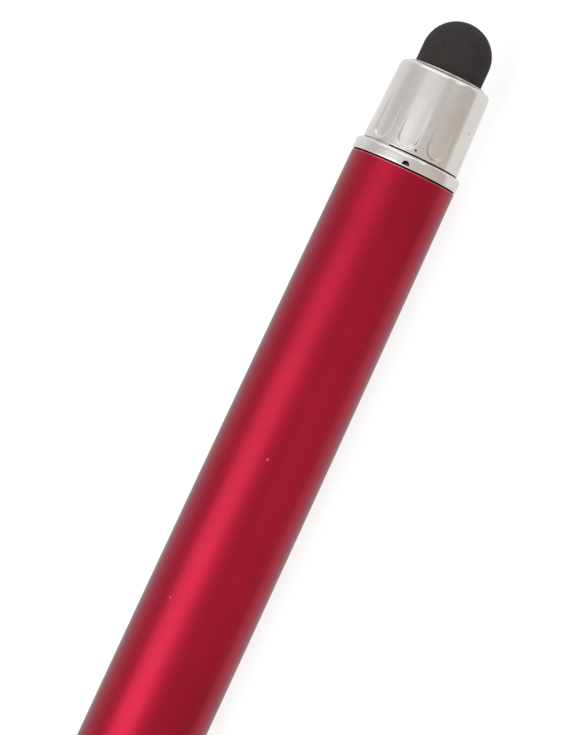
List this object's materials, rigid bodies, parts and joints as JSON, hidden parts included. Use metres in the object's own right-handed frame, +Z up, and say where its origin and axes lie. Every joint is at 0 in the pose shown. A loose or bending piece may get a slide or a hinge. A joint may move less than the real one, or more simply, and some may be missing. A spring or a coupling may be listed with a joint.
{
  "type": "stylus pen",
  "caption": "Twist-action ballpoint pen with a rubber stylus nib on its cap end, a fluted collar, a sprung pocket clip and a retracting refill.",
  "frame": {"origin": "under the middle of the pen's box, on the surface that the pen lies on", "axes": "+X along the pen towards the stylus nib, +Z up from the surface; the clip points to +Y and down, the printed side faces -Y and up"},
  "size_m": [0.1378, 0.0146, 0.0115],
  "materials": {
    "red_lacquer": "satin",
    "satin_silver": "satin",
    "nib_rubber": "matte",
    "core_plastic": "matte",
    "clip_steel": "satin",
    "pin_steel": "satin",
    "mechanism_plastic": "matte",
    "ring_rubber": "matte",
    "refill_plastic": "gloss",
    "tip_brass": "satin",
    "ball_carbide": "polished",
    "ink": "gloss"
  },
  "bodies": {
    "upper": {"stylus_tip": "nib_rubber", "stylus_core": "core_plastic", "stylus_collar": "satin_silver", "clip_ring": "satin_silver", "upper_barrel": "red_lacquer", "cam_sleeve": "mechanism_plastic"},
    "clip": {"clip": "clip_steel"},
    "lower": {"guide_sleeve": "mechanism_plastic", "drag_ring": "ring_rubber", "retaining_ring": "pin_steel", "centre_ring": "satin_silver", "lower_barrel": "red_lacquer", "nose_cone": "satin_silver", "refill_spring": "pin_steel"},
    "refill": {"cam_follower": "mechanism_plastic", "cross_pin": "pin_steel", "refill_tube": "refill_plastic", "refill_tip": "tip_brass", "ink_column": "ink", "refill_plug": "mechanism_plastic"},
    "ball": {"writing_ball": "ball_carbide"}
  },
  "joints": [
    {"name": "twist", "type": "hinge", "parent": "upper", "child": "lower", "pos_m": [-0.01198, -0.00154, 0.00577], "axis": [1, 0, 0], "range_deg": [0, 160]},
    {"name": "refill_slide", "type": "slide", "parent": "lower", "child": "refill", "axis": [-1, 0, 0], "range_m": [0, 0.0045], "deforming": ["refill_spring"]},
    {"name": "clip_flex", "type": "hinge", "parent": "upper", "child": "clip", "pos_m": [0.05322, 0.00522, 0.00294], "axis": [0, -0.3864, -0.9223], "range_deg": [0, 4], "stiffness_Nm_per_rad": 1.6},
    {"name": "ball_roll", "type": "hinge", "parent": "refill", "child": "ball", "pos_m": [-0.06688, -0.00154, 0.00577], "axis": [0, 1, 0], "continuous": true}
  ],
  "couplings": [
    {"joint": "twist", "follows": "refill_slide", "rad_per_m": 620.56}
  ]
}
